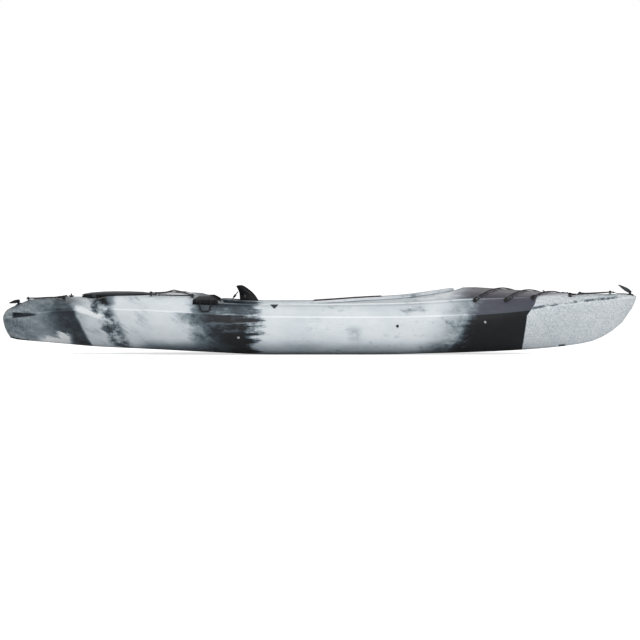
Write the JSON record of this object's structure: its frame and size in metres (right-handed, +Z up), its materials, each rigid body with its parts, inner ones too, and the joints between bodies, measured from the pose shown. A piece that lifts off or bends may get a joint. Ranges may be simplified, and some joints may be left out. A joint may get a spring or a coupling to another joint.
{
  "type": "recreational kayak",
  "caption": "Sit-in recreational kayak with a marbled moulded shell, egg-shaped cockpit, fold-down padded seat back, foot braces, stern hatch, carry handles and deck elastics.",
  "frame": {"origin": "centre of the hull's flat bottom, midway between bow and stern", "axes": "+X to the bow, +Y to port, +Z up"},
  "size_m": [3.8105, 0.7868, 0.4162],
  "materials": {
    "marbled_polyethylene": "moulded polyethylene, marbled white, grey and dark slate, softly glossy",
    "black_nylon": "moulded nylon, satin black",
    "grey_nylon": "moulded nylon, satin dark grey",
    "black_rubber": "moulded rubber, black, dull",
    "closed_cell_foam": "closed-cell foam, black, open skin",
    "elastic_cord": "braided elastic cord, black with a few pale flecks",
    "seat_fabric": "woven seat fabric, black",
    "stainless_steel": "stainless steel fasteners, lightly brushed",
    "anodised_aluminium": "anodised aluminium rails, dark grey"
  },
  "bodies": {
    "hull": {"after_deck_bungee": "elastic_cord", "after_post_1": "black_rubber", "after_post_2": "black_rubber", "after_post_3": "black_rubber", "after_post_4": "black_rubber", "back_keeper_cord": "elastic_cord", "bow_bungee_1": "elastic_cord", "bow_bungee_2": "elastic_cord", "bow_bungee_3": "elastic_cord", "bow_foam_pillar": "closed_cell_foam", "bow_handle_mount": "black_nylon", "bow_post_apex_1": "black_rubber", "bow_post_port_1": "black_rubber", "bow_post_port_2": "black_rubber", "bow_post_port_3": "black_rubber", "bow_post_port_4": "black_rubber", "bow_post_starboard_1": "black_rubber", "bow_post_starboard_2": "black_rubber", "bow_post_starboard_3": "black_rubber", "bow_post_starboard_4": "black_rubber", "bow_vee_bungee": "elastic_cord", "foot_rail_port": "anodised_aluminium", "foot_rail_starboard": "anodised_aluminium", "hatch_rim": "black_rubber", "hull_shell": "marbled_polyethylene", "keeper_eye": "black_nylon", "rail_bolt_port_aft": "stainless_steel", "rail_bolt_port_fore": "stainless_steel", "rail_bolt_starboard_aft": "stainless_steel", "rail_bolt_starboard_fore": "stainless_steel", "seat_bolt_port": "stainless_steel", "seat_bolt_starboard": "stainless_steel", "seat_cushion": "seat_fabric", "seat_hinge_pin_port": "stainless_steel", "seat_hinge_pin_starboard": "stainless_steel", "seat_pan": "black_nylon", "side_handle_base_port": "black_nylon", "side_handle_base_starboard": "black_nylon", "skid_plate": "black_rubber", "stern_bulkhead": "closed_cell_foam", "stern_handle_mount": "black_nylon", "stern_post_1": "black_rubber", "stern_post_2": "black_rubber", "stern_post_3": "black_rubber", "stern_vee_bungee": "elastic_cord", "thigh_pad_port": "closed_cell_foam", "thigh_pad_starboard": "closed_cell_foam"},
    "hatch_lid": {"hatch_lid": "grey_nylon"},
    "drain_plug": {"drain_plug": "black_nylon"},
    "bow_handle": {"bow_handle": "grey_nylon"},
    "stern_handle": {"stern_handle": "black_nylon"},
    "side_bail_port": {"side_handle_bail_port": "grey_nylon"},
    "side_bail_starboard": {"side_handle_bail_starboard": "grey_nylon"},
    "seat_back": {"seat_back_shell": "black_nylon", "seat_back_pad": "seat_fabric"},
    "foot_pedal_port": {"foot_pedal_port": "black_nylon"},
    "foot_pedal_starboard": {"foot_pedal_starboard": "black_nylon"},
    "foot_lever_port": {"foot_lever_port": "grey_nylon"},
    "foot_lever_starboard": {"foot_lever_starboard": "grey_nylon"}
  },
  "joints": [
    {"name": "hatch_lift", "type": "slide", "parent": "hull", "child": "hatch_lid", "axis": [0, 0, 1], "range_m": [0, 0.12]},
    {"name": "drain_plug_turn", "type": "hinge", "parent": "hull", "child": "drain_plug", "pos_m": [-1.494, 0, 0.34419], "axis": [0.0087, 0, 1], "range_deg": [0, 360]},
    {"name": "bow_handle_swing", "type": "hinge", "parent": "hull", "child": "bow_handle", "pos_m": [1.868, 0, 0.37265], "axis": [0, 1, 0], "range_deg": [-28, 110]},
    {"name": "stern_handle_swing", "type": "hinge", "parent": "hull", "child": "stern_handle", "pos_m": [-1.812, 0, 0.31787], "axis": [0, 1, 0], "range_deg": [0, 140]},
    {"name": "side_bail_swing_port", "type": "hinge", "parent": "hull", "child": "side_bail_port", "pos_m": [-0.676, 0.36754, 0.32134], "axis": [1, 0, 0], "range_deg": [0, 120]},
    {"name": "side_bail_swing_starboard", "type": "hinge", "parent": "hull", "child": "side_bail_starboard", "pos_m": [-0.676, -0.36754, 0.32134], "axis": [-1, 0, 0], "range_deg": [0, 120]},
    {"name": "seat_back_recline", "type": "hinge", "parent": "hull", "child": "seat_back", "pos_m": [-0.435, 0, 0.124], "axis": [0, 1, 0], "range_deg": [0, 55], "deforming": ["back_keeper_cord"]},
    {"name": "foot_pedal_slide_port", "type": "slide", "parent": "hull", "child": "foot_pedal_port", "axis": [0.9858, -0.1617, 0.0463], "range_m": [-0.15, 0.15]},
    {"name": "foot_pedal_slide_starboard", "type": "slide", "parent": "hull", "child": "foot_pedal_starboard", "axis": [0.9858, 0.1617, 0.0463], "range_m": [-0.15, 0.15]},
    {"name": "foot_lever_pull_port", "type": "hinge", "parent": "foot_pedal_port", "child": "foot_lever_port", "pos_m": [0.7226, 0.2702, 0.18759], "axis": [-0.166, -0.9795, 0.1141], "range_deg": [0, 18]},
    {"name": "foot_lever_pull_starboard", "type": "hinge", "parent": "foot_pedal_starboard", "child": "foot_lever_starboard", "pos_m": [0.7226, -0.2702, 0.18759], "axis": [0.166, -0.9795, -0.1141], "range_deg": [0, 18]}
  ]
}
